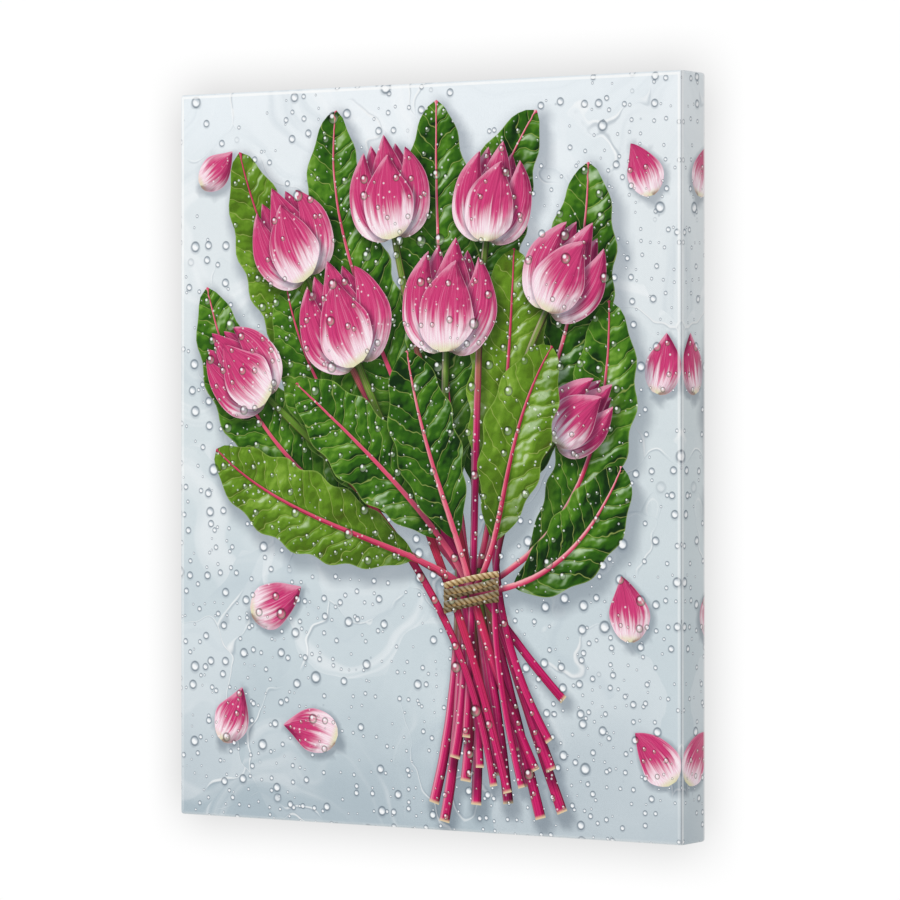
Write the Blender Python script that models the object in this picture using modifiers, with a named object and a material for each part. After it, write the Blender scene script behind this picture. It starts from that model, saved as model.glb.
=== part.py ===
"""A stretched canvas print with a gallery wrap.

A mitred pine stretcher frame carries one printed canvas, pulled round the four sides and
stapled to the back. Wooden keys sit in the corner slots, a sawtooth hanger is nailed to the
top bar, and two bumpers keep the lower edge off the wall.

Metres, +Z up. The print faces -Y and the wall is on the +Y side. The origin is the middle
notch of the hanger, where it rests on a nail in the wall.
"""

import math

import bmesh
import bpy
from mathutils import Matrix

# Outside of the wrapped canvas: a 16 x 20 inch print on 1 1/4 inch bars
WIDTH = 0.4064
HEIGHT = 0.508
DEPTH = 0.032

# Canvas
CANVAS_THICKNESS = 0.0006
WRAP_RADIUS = 0.0020
FLAP = 0.024

# Clearance between pieces that touch
GAP = 0.0003

# Stretcher bars
BAR_WIDTH = 0.038
LIP_WIDTH = 0.006
LIP_STEP = 0.0015
FACE_SLOPE = 0.0020
BAR_EDGE_RADIUS = 0.0015
BAR_TIP = 0.0015

# Corner joints: a tongue in one layer and a slot in the other
SLOT_THICKNESS = 0.006
REAR_LAYER = 0.0095
FRONT_LAYER = 0.0195
TONGUE_END = 0.009
TONGUE_ROOT = 0.005
TONGUE_INSET = 0.0005
KEY_ROOM = 0.010

# Corner keys
KEY_THICKNESS = 0.0048
KEY_INSIDE = 0.024
KEY_OUTSIDE = 0.013
KEY_TIP_WIDTH = 0.0055

# Staples
STAPLE_CROWN = 0.011
STAPLE_LEG = 0.008
STAPLE_WIRE = 0.0006
STAPLE_WIRE_WIDTH = 0.0012
STAPLE_INSET = 0.0125
STAPLE_END_ROOM = 0.046
STAPLE_SLANT = math.radians(14)
STAPLES_ON_SHORT_SIDE = 7
STAPLES_ON_LONG_SIDE = 9

# Sawtooth hanger and its nails
HANGER_HALF_LENGTH = 0.023
HANGER_HEIGHT = 0.011
HANGER_THICKNESS = 0.0008
HANGER_FOOT = 0.009
HANGER_RAMP = 0.002
HANGER_RISE = 0.0018
HANGER_ABOVE_INNER_EDGE = 0.0017
NOTCH_COUNT = 7
NOTCH_PITCH = 0.0030
NOTCH_DEPTH = 0.0020
NAIL_FROM_END = 0.0045
NAIL_RADIUS = 0.00065
NAIL_HEAD_RADIUS = 0.0016
NAIL_HEAD_THICKNESS = 0.0006
NAIL_LENGTH = 0.012
NAIL_SIDES = 12

# Wall bumpers
BUMPER_RADIUS = 0.00475
BUMPER_THICKNESS = 0.0032
BUMPER_EDGE = 0.0008
BUMPER_INSET = 0.0155
BUMPER_SIDES = 24

ARC_STEPS = 3

# Depth levels along Y, from the wood's back face
WOOD_BACK = -(GAP + HANGER_RISE + HANGER_THICKNESS / 2)
FLAP_BACK = WOOD_BACK + GAP + CANVAS_THICKNESS
FRONT = FLAP_BACK - DEPTH
BAR_DEPTH = DEPTH - 2 * (CANVAS_THICKNESS + GAP)

# Heights along Z, from the middle notch
BAR_INSET = CANVAS_THICKNESS + GAP
TOP = BAR_INSET + BAR_WIDTH - HANGER_ABOVE_INNER_EDGE - NOTCH_DEPTH
CENTRE_Z = TOP - HEIGHT / 2
BAR_HALF_WIDTH = WIDTH / 2 - BAR_INSET
BAR_HALF_HEIGHT = HEIGHT / 2 - BAR_INSET

# Each side of the frame: its turn about Y from the top bar, half its length, and how far its
# outer face is from the centre
SIDES = {
    "top": (0, BAR_HALF_WIDTH, BAR_HALF_HEIGHT),
    "right": (90, BAR_HALF_HEIGHT, BAR_HALF_WIDTH),
    "bottom": (180, BAR_HALF_WIDTH, BAR_HALF_HEIGHT),
    "left": (270, BAR_HALF_HEIGHT, BAR_HALF_WIDTH),
}


def clear_scene():
    for old in list(bpy.data.objects):
        bpy.data.objects.remove(old, do_unlink=True)


def new_collection(name):
    collection = bpy.data.collections.new(name)
    bpy.context.scene.collection.children.link(collection)
    return collection


def new_material(name, colour, roughness, metallic=0.0):
    made = bpy.data.materials.new(name)
    made.use_nodes = True
    shader = made.node_tree.nodes["Principled BSDF"]
    shader.inputs["Base Color"].default_value = (*colour, 1.0)
    shader.inputs["Roughness"].default_value = roughness
    shader.inputs["Metallic"].default_value = metallic
    return made


def to_object(bm, name, collection, material=None):
    """Turns a bmesh into an object with outward faces."""
    bm.normal_update()
    bmesh.ops.recalc_face_normals(bm, faces=bm.faces)
    mesh = bpy.data.meshes.new(name)
    bm.to_mesh(mesh)
    bm.free()
    made = bpy.data.objects.new(name, mesh)
    collection.objects.link(made)
    if material:
        mesh.materials.append(material)
    return made


def to_cutter(bm, name):
    made = to_object(bm, name, CUTTERS)
    made.hide_render = True
    made.display_type = "WIRE"
    return made


def boolean(target, tool, operation):
    modifier = target.modifiers.new(tool.name, "BOOLEAN")
    modifier.operation = operation
    modifier.object = tool


def add_box(bm, low, high, matrix=Matrix()):
    """Adds a cube stretched between two corners."""
    size = [h - l for l, h in zip(low, high)]
    middle = [(h + l) / 2 for l, h in zip(low, high)]
    place = matrix @ Matrix.Translation(middle) @ Matrix.Diagonal((*size, 1))
    bmesh.ops.create_cube(bm, size=1, matrix=place)


def add_rod(bm, radius, near, far, matrix=Matrix(), sides=NAIL_SIDES):
    """Adds a round rod along Y, from near to far."""
    place = matrix @ Matrix.Translation((0, (near + far) / 2, 0)) @ Matrix.Rotation(math.pi / 2, 4, "X")
    bmesh.ops.create_cone(
        bm, cap_ends=True, segments=sides, radius1=radius, radius2=radius, depth=far - near, matrix=place
    )


def add_prism(bm, outline, direction):
    """Adds a flat outline of 3D points, extruded along a direction."""
    face = bm.faces.new([bm.verts.new(point) for point in outline])
    moved = bmesh.ops.extrude_face_region(bm, geom=[face])["geom"]
    bmesh.ops.translate(bm, verts=[g for g in moved if isinstance(g, bmesh.types.BMVert)], vec=direction)


def saw_off(bm, point, normal):
    """Removes what lies past a plane and closes the cut."""
    bmesh.ops.bisect_plane(
        bm, geom=bm.verts[:] + bm.edges[:] + bm.faces[:], plane_co=point, plane_no=normal, clear_outer=True
    )
    bmesh.ops.holes_fill(bm, edges=[e for e in bm.edges if e.is_boundary])


def rounded(outline, radii):
    """Replaces each corner of a 2D outline that has a radius by an arc."""
    points = []
    for i, (corner, radius) in enumerate(zip(outline, radii)):
        if not radius:
            points.append(corner)
            continue
        before, after = outline[i - 1], outline[(i + 1) % len(outline)]
        into = [(b - c) / math.dist(before, corner) for b, c in zip(before, corner)]
        out = [(a - c) / math.dist(after, corner) for a, c in zip(after, corner)]
        for step in range(ARC_STEPS + 1):
            turn = math.pi / 2 * step / ARC_STEPS
            near, far = 1 - math.sin(turn), 1 - math.cos(turn)
            points.append(tuple(c + radius * (near * p + far * q) for c, p, q in zip(corner, into, out)))
    return points


def side_matrix(side):
    """Takes a bar lying along X at the top of the frame's centre to its own side."""
    turn = math.radians(SIDES[side][0])
    return Matrix.Translation((0, 0, CENTRE_Z)) @ Matrix.Rotation(turn, 4, "Y")


def layers_of(side):
    """Depth of the side's tongues and of its slots. Neighbours have them the other way round."""
    return (REAR_LAYER, FRONT_LAYER) if side in ("top", "bottom") else (FRONT_LAYER, REAR_LAYER)


def bar_profile():
    """The bar's section as (across from the outer edge, depth from the back)."""
    outline = [
        (0, 0),
        (BAR_WIDTH, 0),
        (BAR_WIDTH, BAR_DEPTH - LIP_STEP - FACE_SLOPE),
        (LIP_WIDTH + LIP_STEP, BAR_DEPTH - LIP_STEP),
        (LIP_WIDTH, BAR_DEPTH),
        (0, BAR_DEPTH),
    ]
    return rounded(outline, [BAR_EDGE_RADIUS, BAR_EDGE_RADIUS, 0, 0, 0, BAR_EDGE_RADIUS])


def make_bar(side):
    """One mitred stretcher bar, with its tongues, slots and staple holes."""
    _, half, reach = SIDES[side]
    bm = bmesh.new()
    outline = [(-half, WOOD_BACK - depth, reach - across) for across, depth in bar_profile()]
    add_prism(bm, outline, (2 * half, 0, 0))
    for end in (-1, 1):
        saw_off(bm, (end * (half - GAP / 2), 0, reach), (end, 0, -1))
        saw_off(bm, (end * (half - BAR_TIP), 0, reach), (end, 0, 1))
    bm.transform(side_matrix(side))
    bar = to_object(bm, f"bar_{side}", PARTS, PINE)

    tongue_layer, slot_layer = layers_of(side)
    tongues, slots = bmesh.new(), bmesh.new()
    for end in (-1, 1):
        to_side = side_matrix(side) @ Matrix.Scale(end, 4, (1, 0, 0))
        thin = SLOT_THICKNESS / 2 - GAP
        middle = WOOD_BACK - tongue_layer
        low = (half - BAR_WIDTH - TONGUE_ROOT, middle - thin, reach - BAR_WIDTH + TONGUE_INSET)
        high = (half - TONGUE_END, middle + thin, reach - TONGUE_END)
        add_box(tongues, low, high, to_side)
        middle = WOOD_BACK - slot_layer
        low = (half - BAR_WIDTH - KEY_ROOM, middle - SLOT_THICKNESS / 2, reach - BAR_WIDTH - TONGUE_ROOT)
        high = (half - TONGUE_END + GAP, middle + SLOT_THICKNESS / 2, reach - TONGUE_END + GAP)
        add_box(slots, low, high, to_side)
    boolean(bar, to_cutter(tongues, f"tongues_{side}"), "UNION")
    boolean(bar, to_cutter(slots, f"slots_{side}"), "DIFFERENCE")
    return bar


def make_key(side, end):
    """A wedge in the slot of one bar, beside the neighbour's tongue."""
    _, half, reach = SIDES[side]
    middle = WOOD_BACK - layers_of(side)[1]
    tongue_side = half - BAR_WIDTH - GAP
    slot_side = half - BAR_WIDTH - KEY_ROOM + GAP
    inner_edge = reach - BAR_WIDTH
    tip, butt = inner_edge + KEY_INSIDE, inner_edge - KEY_OUTSIDE
    outline = [(slot_side, butt), (tongue_side, butt), (tongue_side, tip), (tongue_side - KEY_TIP_WIDTH, tip)]
    bm = bmesh.new()
    add_prism(bm, [(end * x, middle - KEY_THICKNESS / 2, z) for x, z in outline], (0, KEY_THICKNESS, 0))
    bm.transform(side_matrix(side))
    return to_object(bm, f"key_{side}_{'a' if end < 0 else 'b'}", PARTS, KEY_WOOD)


def staple_places():
    """A name and a matrix for each staple. Its crown lies along X on the flap's back."""
    for side, (_, half, reach) in SIDES.items():
        count = STAPLES_ON_SHORT_SIDE if side in ("top", "bottom") else STAPLES_ON_LONG_SIDE
        first = half - STAPLE_END_ROOM
        for i in range(count):
            along = first * (2 * i / (count - 1) - 1)
            slant = STAPLE_SLANT if i % 2 else -STAPLE_SLANT
            place = Matrix.Translation((along, FLAP_BACK + GAP, reach + BAR_INSET - STAPLE_INSET))
            yield f"staple_{side}_{i + 1}", side_matrix(side) @ place @ Matrix.Rotation(slant, 4, "Y")


def make_staples():
    """The staples, and one cutter with a clear hole for every leg."""
    half, wire = STAPLE_CROWN / 2, STAPLE_WIRE
    outline = [
        (-half, wire), (-half, -STAPLE_LEG), (wire - half, -STAPLE_LEG), (wire - half, 0),
        (half - wire, 0), (half - wire, -STAPLE_LEG), (half, -STAPLE_LEG), (half, wire),
    ]
    width = STAPLE_WIRE_WIDTH
    holes = bmesh.new()
    for name, matrix in staple_places():
        bm = bmesh.new()
        add_prism(bm, [(x, y, -width / 2) for x, y in outline], (0, 0, width))
        bm.transform(matrix)
        to_object(bm, name, PARTS, STEEL)
        for end in (-1, 1):
            leg = end * (half - wire / 2)
            low = (leg - wire / 2 - GAP, -STAPLE_LEG - GAP, -width / 2 - GAP)
            high = (leg + wire / 2 + GAP, wire, width / 2 + GAP)
            add_box(holes, low, high, matrix)
    return to_cutter(holes, "staple_holes")


def wrap_box(inset, radius):
    """A box inside the canvas's outer surface by an inset, with rounded edges."""
    bm = bmesh.new()
    low = (inset - WIDTH / 2, FRONT + inset, TOP - HEIGHT + inset)
    high = (WIDTH / 2 - inset, FLAP_BACK - inset, TOP - inset)
    add_box(bm, low, high)
    bmesh.ops.bevel(bm, geom=bm.edges[:], offset=radius, segments=ARC_STEPS, profile=0.5, affect="EDGES")
    return bm


def make_canvas(staple_holes):
    """One sheet over the front and sides, turned in as four flaps on the back."""
    canvas = to_object(wrap_box(0, WRAP_RADIUS), "canvas", PARTS, PRINT)
    hollow = to_cutter(wrap_box(CANVAS_THICKNESS, WRAP_RADIUS - CANVAS_THICKNESS), "canvas_hollow")
    boolean(canvas, hollow, "DIFFERENCE")
    window = bmesh.new()
    low = (FLAP - WIDTH / 2, WOOD_BACK - FLAP / 2, TOP - HEIGHT + FLAP)
    high = (WIDTH / 2 - FLAP, FLAP_BACK + FLAP / 2, TOP - FLAP)
    add_box(window, low, high)
    boolean(canvas, to_cutter(window, "canvas_window"), "DIFFERENCE")
    boolean(canvas, staple_holes, "DIFFERENCE")


def make_hanger():
    """The sawtooth plate: two feet on the wood and a raised middle with notches below."""
    foot_y = WOOD_BACK + GAP + HANGER_THICKNESS / 2
    ramp_end = HANGER_HALF_LENGTH - HANGER_FOOT - HANGER_RAMP
    halves = [(HANGER_HALF_LENGTH, foot_y), (HANGER_HALF_LENGTH - HANGER_FOOT, foot_y)]
    halves.append((ramp_end, foot_y + HANGER_RISE))
    line = [(-x, y) for x, y in halves] + [(x, y) for x, y in reversed(halves)]
    bm = bmesh.new()
    path = [bm.verts.new((x, y, -NOTCH_DEPTH)) for x, y in line]
    edges = [bm.edges.new(pair) for pair in zip(path, path[1:])]
    raised = bmesh.ops.extrude_edge_only(bm, edges=edges)["geom"]
    verts = [g for g in raised if isinstance(g, bmesh.types.BMVert)]
    bmesh.ops.translate(bm, verts=verts, vec=(0, 0, HANGER_HEIGHT))
    plate = to_object(bm, "hanger_plate", PARTS, ZINC)
    thicken = plate.modifiers.new("sheet", "SOLIDIFY")
    thicken.thickness = HANGER_THICKNESS
    thicken.offset = 0

    notches = bmesh.new()
    half = NOTCH_PITCH / 2 - GAP
    for i in range(NOTCH_COUNT):
        x = (i - (NOTCH_COUNT - 1) / 2) * NOTCH_PITCH
        below = -2 * NOTCH_DEPTH
        outline = [(x - 2 * half, -HANGER_RISE, below), (x + 2 * half, -HANGER_RISE, below), (x, -HANGER_RISE, 0)]
        add_prism(notches, outline, (0, 2 * HANGER_RISE, 0))
    boolean(plate, to_cutter(notches, "hanger_notches"), "DIFFERENCE")
    return plate


def make_nails():
    """The hanger's two nails, and a cutter with their clear holes."""
    holes = bmesh.new()
    seat = WOOD_BACK + GAP + HANGER_THICKNESS + GAP
    for name, end in (("left", -1), ("right", 1)):
        height = HANGER_HEIGHT / 2 - NOTCH_DEPTH
        place = Matrix.Translation((end * (HANGER_HALF_LENGTH - NAIL_FROM_END), 0, height))
        bm = bmesh.new()
        add_rod(bm, NAIL_RADIUS, seat - NAIL_LENGTH, seat + NAIL_HEAD_THICKNESS / 2, place)
        shank = to_object(bm, f"hanger_nail_{name}", PARTS, STEEL)
        bm = bmesh.new()
        add_rod(bm, NAIL_HEAD_RADIUS, seat, seat + NAIL_HEAD_THICKNESS, place)
        boolean(shank, to_cutter(bm, f"nail_head_{name}"), "UNION")
        add_rod(holes, NAIL_RADIUS + GAP, seat - NAIL_LENGTH - GAP, seat + GAP, place)
    return to_cutter(holes, "nail_holes")


def make_bumper(name, end):
    """A round pad with a softened rim on the lower corner's flap."""
    place = Matrix.Translation((end * (WIDTH / 2 - BUMPER_INSET), 0, TOP - HEIGHT + BUMPER_INSET))
    near = FLAP_BACK + GAP
    bm = bmesh.new()
    add_rod(bm, BUMPER_RADIUS, near, near + BUMPER_THICKNESS, place, BUMPER_SIDES)
    rim = [e for e in bm.edges if all(v.co.y > near + BUMPER_THICKNESS / 2 for v in e.verts)]
    bmesh.ops.bevel(bm, geom=rim, offset=BUMPER_EDGE, segments=2, profile=0.5, affect="EDGES")
    bumper = to_object(bm, f"bumper_{name}", PARTS, RUBBER)
    bumper.data.shade_smooth()
    bumper.data.set_sharp_from_angle(angle=math.radians(40))


clear_scene()
PARTS = new_collection("canvas_print")
CUTTERS = new_collection("cutters")
PRINT = new_material("print", (0.66, 0.70, 0.74), 0.62)
PINE = new_material("pine", (0.72, 0.53, 0.33), 0.70)
KEY_WOOD = new_material("key_wood", (0.62, 0.43, 0.25), 0.72)
STEEL = new_material("staple_steel", (0.62, 0.63, 0.65), 0.32, 1.0)
ZINC = new_material("hanger_zinc", (0.66, 0.64, 0.58), 0.38, 1.0)
RUBBER = new_material("bumper_rubber", (0.05, 0.05, 0.055), 0.80)

staple_holes = make_staples()
make_canvas(staple_holes)
bars = {side: make_bar(side) for side in SIDES}
for bar in bars.values():
    boolean(bar, staple_holes, "DIFFERENCE")
hanger = make_hanger()
nail_holes = make_nails()
boolean(hanger, nail_holes, "DIFFERENCE")
boolean(bars["top"], nail_holes, "DIFFERENCE")
for side in SIDES:
    for end in (-1, 1):
        make_key(side, end)
make_bumper("left", -1)
make_bumper("right", 1)
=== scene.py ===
import math

import bpy
import numpy as np
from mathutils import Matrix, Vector
from mathutils.geometry import delaunay_2d_cdt


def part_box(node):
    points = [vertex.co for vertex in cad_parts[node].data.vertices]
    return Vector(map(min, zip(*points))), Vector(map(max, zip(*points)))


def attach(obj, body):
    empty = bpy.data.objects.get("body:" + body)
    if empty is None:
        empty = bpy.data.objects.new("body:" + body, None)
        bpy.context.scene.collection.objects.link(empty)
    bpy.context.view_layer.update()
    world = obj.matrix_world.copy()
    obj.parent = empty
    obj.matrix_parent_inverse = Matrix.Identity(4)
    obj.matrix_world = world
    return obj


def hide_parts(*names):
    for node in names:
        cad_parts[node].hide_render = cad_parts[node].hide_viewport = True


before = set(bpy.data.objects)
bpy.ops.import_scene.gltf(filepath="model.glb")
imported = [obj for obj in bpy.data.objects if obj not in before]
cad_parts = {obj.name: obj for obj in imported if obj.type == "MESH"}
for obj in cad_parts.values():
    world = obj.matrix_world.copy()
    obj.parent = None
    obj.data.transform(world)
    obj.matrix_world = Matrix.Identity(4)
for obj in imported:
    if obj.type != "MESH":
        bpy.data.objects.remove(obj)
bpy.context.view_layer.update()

# The wrapped canvas: its box comes from the frame, its cloth from the values here
LOW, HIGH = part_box("canvas")
HALF_WIDTH = (HIGH.x - LOW.x) / 2
HALF_HEIGHT = (HIGH.z - LOW.z) / 2
DEPTH = HIGH.y - LOW.y
CENTRE_Z = (HIGH.z + LOW.z) / 2
FLAP = 0.024
THICKNESS = 0.0006
WRAP_RADIUS = 0.002
PRINT_ON_BACK = 0.006
WEAVE_PITCH = 0.00062
MITRE_WIDTH = 0.0014
RAW_EDGE = 0.0014
SMOOTH_DEGREES = 50

# The flat sheet's triangles
GRID = 0.0044
ARC_TURNS = (15, 30)
GUARD = 0.0004
WELD = 2e-5
SNAP = 1e-6
SMALLEST_AREA = 1e-12

# Folded layers at the corners, and the pull of the staples
PLEAT_RISE = 0.00034
PLEAT_EASE = 0.008
SEAM_INSET = 0.003
SEAM_STEP = 0.0006
STAPLE_DIP = 0.0002
STAPLE_REACH = 0.0045
EDGE_SWELL = 0.0003
SWELL_START = 0.008
SWELL_FULL = 0.022

# Threads that fray from the cut edge, and the wood that they lie on
THREAD_RADIUS = 0.00016
THREAD_PITCH = 0.0075
THREAD_ROOT = 0.0006
THREAD_SIDES = 5
THREAD_STEPS = 6
THREAD_Y = HIGH.y - THICKNESS / 2
BAR_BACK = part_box("bar_top")[1].y
BAR_WIDTH = 0.038
PITH_Y = -0.034
RING_WIDTH = 0.0034
HANGER_CLEAR = 0.034

# The picture: light comes from the upper left
LIGHT = np.array((-0.64, 0.77))
SHADOW_SHIFT = 0.8
SHADOW_REACH = 1.15
SHADOW_RINGS = (0.0, 0.45, 1.0)
SHADOW_MARGIN = 2.2
CAST_DEPTH = 0.66
CLOSE_DEPTH = 0.16
CLOSE_REACH = 0.8
RING_PITCH = 0.0026
SEED = 7

# The wall behind, the soft shade on it round the canvas, and the floor
WALL_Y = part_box("bumper_left")[1].y
SHADE_ACROSS = (LOW.x - 0.026, HIGH.x - 0.002)
SHADE_UP = (LOW.z - 0.004, HIGH.z + 0.004)
SHADE_SOFT = 0.036
SHADE_DEPTH = 0.434
WALL_TOP = 3
STAGE_SIDE = 4
FLOOR_Z = LOW.z - 0.9
FLOOR_NEAR = -5
FLOOR_FAR = 4

# The lamps and the white surround, and a camera that matches the photo's view
LAMPS = {"key": (-0.9, -3.0, 0.5), "back": (-0.4, 3.0, 0.9)}
LAMP_SIZE = 1.8
LAMP_POWER = 31
SURROUND_LIGHT = 0.7
CAMERA_PLACE = (1.55086, -2.41935, -0.19107)
CAMERA_TURN = 32.635
CAMERA_LENS = 167.26
CAMERA_SHIFT = -0.03863


def make_mesh(name, points, faces, *materials):
    """A mesh with smooth faces and its materials."""
    mesh = bpy.data.meshes.new(name)
    mesh.from_pydata(points, [], faces)
    mesh.polygons.foreach_set("use_smooth", [True] * len(faces))
    for material in materials:
        mesh.materials.append(material)
    return mesh


def add_object(name, data):
    thing = bpy.data.objects.new(name, data)
    bpy.context.scene.collection.objects.link(thing)
    return thing


# Curves and outlines of the picture

def bezier(points, count):
    """Points along one Bezier curve of any degree."""
    t = np.linspace(0, 1, count)[:, None]
    layers = [np.array(point, float) * np.ones_like(t) for point in points]
    while len(layers) > 1:
        layers = [a * (1 - t) + b * t for a, b in zip(layers, layers[1:])]
    return layers[0]


def leaf_width(s):
    stalk = 0.085 * (1 - 0.4 * s)
    blade = np.clip((s - 0.22) / 0.78, 0, 1)
    return np.maximum(stalk, 2.42 * blade ** 0.72 * (1 - blade) ** 0.60) * (s < 1)


def petal_width(s):
    return 0.24 * (1 - s) ** 2 + 1.22 * np.sin(np.pi * s ** 0.92) ** 0.8 * (1 - 0.42 * s)


def stem_width(s):
    return 1.0 - 0.16 * s


# How wide each kind of motif is along its length, as a share of its half-width
WIDTHS = {"leaf": leaf_width, "petal": petal_width, "stem": stem_width, "twine": np.ones_like}
WAVE_LENGTH = 0.030
WAVE_SHIFTS = (1.7, 2.9)
NARROWEST = 1e-5
POINTED = 2e-4


class Ribbon:
    """One motif: a band round a curved spine, measured along it in metres and across from -1 to 1."""

    def __init__(self, kind, spine, half_width, seed, waves, lift, count):
        self.kind = kind
        self.seed = seed
        self.lift = lift
        self.line = bezier(spine, count)
        steps = np.linalg.norm(np.diff(self.line, axis=0), axis=1)
        self.run = np.concatenate([[0], np.cumsum(steps)])
        self.length = self.run[-1]
        share = self.run / self.length
        width = half_width * WIDTHS[kind](share)
        turns = self.length / WAVE_LENGTH
        self.left, self.right = (
            np.maximum(width * (1 + waves * np.sin(2 * np.pi * (turns * share + seed * shift))), NARROWEST)
            for shift in WAVE_SHIFTS
        )
        self.heading = np.gradient(self.line, axis=0)
        self.heading /= np.linalg.norm(self.heading, axis=1)[:, None]
        self.normal = np.stack([-self.heading[:, 1], self.heading[:, 0]], 1)

    def sides(self, grow=0.0):
        """Points along its left and right edge, moved outwards by a distance."""
        left = self.line + self.normal * (self.left + grow)[:, None]
        return left, self.line - self.normal * (self.right + grow)[:, None]

    def outline(self):
        left, right = self.sides()
        if self.left[-1] < POINTED:
            return np.vstack([left[:-1], self.line[-1:], right[:-1][::-1]])
        return np.vstack([left, right[::-1]])

    def shadow_ring(self, share):
        """Points along the edge of its shadow, at a share of the shadow's soft reach."""
        grow = share * SHADOW_REACH * self.lift
        ends = self.line[[0, -1]] + self.heading[[0, -1]] * [[-grow], [grow]]
        return np.vstack([*self.sides(grow), ends]) - LIGHT * SHADOW_SHIFT * self.lift

    def place(self, points):
        """For each point: along, across and half-width, the light's direction there, distance outside."""
        step = np.diff(self.line, axis=0)
        from_start = points[:, None] - self.line[:-1]
        share = np.clip((from_start * step).sum(2) / (step * step).sum(1), 0, 1)
        away = from_start - share[..., None] * step
        distance = np.linalg.norm(away, axis=2)
        near = distance.argmin(1)
        rows = np.arange(len(points))
        share, away, distance = (values[rows, near] for values in (share, away, distance))
        along = self.run[near] + share * (self.run[near + 1] - self.run[near])
        normal = self.normal[near]
        side = np.sign((away * normal).sum(1))
        left, right = (np.interp(along, self.run, widths) for widths in (self.left, self.right))
        width = np.where(side >= 0, left, right)
        across = side * np.minimum(distance / width, 1)
        light = np.stack([self.heading[near] @ LIGHT, normal @ LIGHT], 1)
        return np.stack([along, across, width], 1), light, np.maximum(distance - width, 0)


def metres(millimetres):
    """Points from a row of coordinates in millimetres."""
    return np.reshape(millimetres, (-1, 2)) / 1000


def turned(points, degrees, origin, scale):
    """Points drawn upright, turned to a heading and moved to their place."""
    angle = math.radians(degrees - 90)
    c = math.cos(angle)
    s = math.sin(angle)
    return [(origin[0] + scale * (c * x - s * y), origin[1] + scale * (s * x + c * y)) for x, y in points]


# The motifs, in millimetres and degrees

# The petals of one flower seen from the side, from back to front: spine, half-width and height of its shadow
BLOOM = (
    ((0, 0, -12, 30, -10, 69), 15.0, 9),
    ((0, 0, 12, 30, 11, 67), 15.0, 9),
    ((0, 0, 1, 36, 2, 75), 16.5, 5),
    ((-3, 1, -31, 20, -17, 65), 14.0, 6),
    ((3, 1, 30, 22, 19, 63), 14.5, 6),
    ((0, -1, -4, 30, 3, 60), 20.5, 4),
)

# Each flower: the base of its bloom, its heading, its size and how open it is
FLOWERS = (
    ((-22, 150), 99, 0.94, 1.0),
    ((-94, 124), 118, 0.92, 1.1),
    ((52, 146), 80, 0.90, 1.0),
    ((-128, 40), 138, 0.88, 1.0),
    ((100, 98), 60, 0.90, 1.05),
    ((-52, 64), 112, 1.00, 1.15),
    ((20, 72), 86, 1.02, 1.1),
    ((106, 10), 42, 0.78, 0.85),
)

# Each leaf: its inner bend, its outer bend, its tip and its half-width
BACK_LEAVES = (
    (-10, 0, -120, 90, -152, 212, 32),
    (10, 20, -90, 130, -70, 238, 31),
    (80, 0, 130, 80, 132, 196, 31),
    (50, 20, 20, 140, 92, 232, 31),
    (20, 20, 10, 140, 12, 242, 32),
    (-40, -50, -150, -10, -180, 118, 29),
    (90, -70, 150, -30, 148, 104, 27),
    (10, -40, -90, 10, -112, 118, 31),
    (60, -40, 70, 40, 74, 140, 31),
)
FRONT_LEAVES = (
    (0, -60, -110, -52, -172, 4, 29),
    (80, -90, 125, -76, 158, -6, 25),
    (20, -50, -40, 0, -104, 50, 28),
    (70, -60, 60, 10, 104, 74, 27),
    (30, -50, 0, 0, -12, 72, 27),
)

# Each loose petal: its base, heading and size
LOOSE_PETALS = (
    ((-142, -110), 25, 0.80),
    ((-168, -200), 65, 0.72),
    ((-70, -196), 170, 0.78),
    ((164, -122), 100, 0.76),
    ((180, 172), 115, 0.66),
    ((-186, 190), 40, 0.62),
    ((196, -214), 132, 0.74),
    ((184, 42), 80, 0.70),
)
LOOSE_SPINE = (0, 0, 6, 28, 1, 58)

# Stems, stalks and twine, in metres again
TIE = np.array((0.040, -0.092))
CUT_STALKS = 13
CUT_END = 0.0030
STEM_HALF_WIDTH = 0.0034
TWINE_TURNS = 5
TWINE_PITCH = 0.0042
TWIST_PITCH = 0.0042


def make_flower(flower, end, draw):
    """A stem from its cut end through the tie, and the bloom on it."""
    base, degrees, size, opening = flower
    base, = metres(base)
    heading = np.array((math.cos(math.radians(degrees)), math.sin(math.radians(degrees))))
    waist = TIE + (draw.uniform(-0.010, 0.010), draw.uniform(-0.004, 0.004))
    spine = [end, waist + (waist - end) * 0.18, base - 0.055 * heading, base + 0.004 * heading]
    parts = [Ribbon("stem", spine, STEM_HALF_WIDTH * size, draw.random(), 0.02, 0.005, 60)]
    for petal, half_width, lift in BLOOM:
        spine = turned(metres(petal) * (opening, 1), degrees, base, size)
        width = size * (half_width / 1000)
        parts.append(Ribbon("petal", spine, width, draw.random(), 0.035, lift / 1000, 26))
    return parts


def make_leaves(leaves, draw):
    """Leaves that all start at the tie."""
    for *bends, half_width in leaves:
        yield Ribbon("leaf", [TIE, *metres(bends)], half_width / 1000, draw.random(), 0.07, 0.010, 72)


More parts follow.
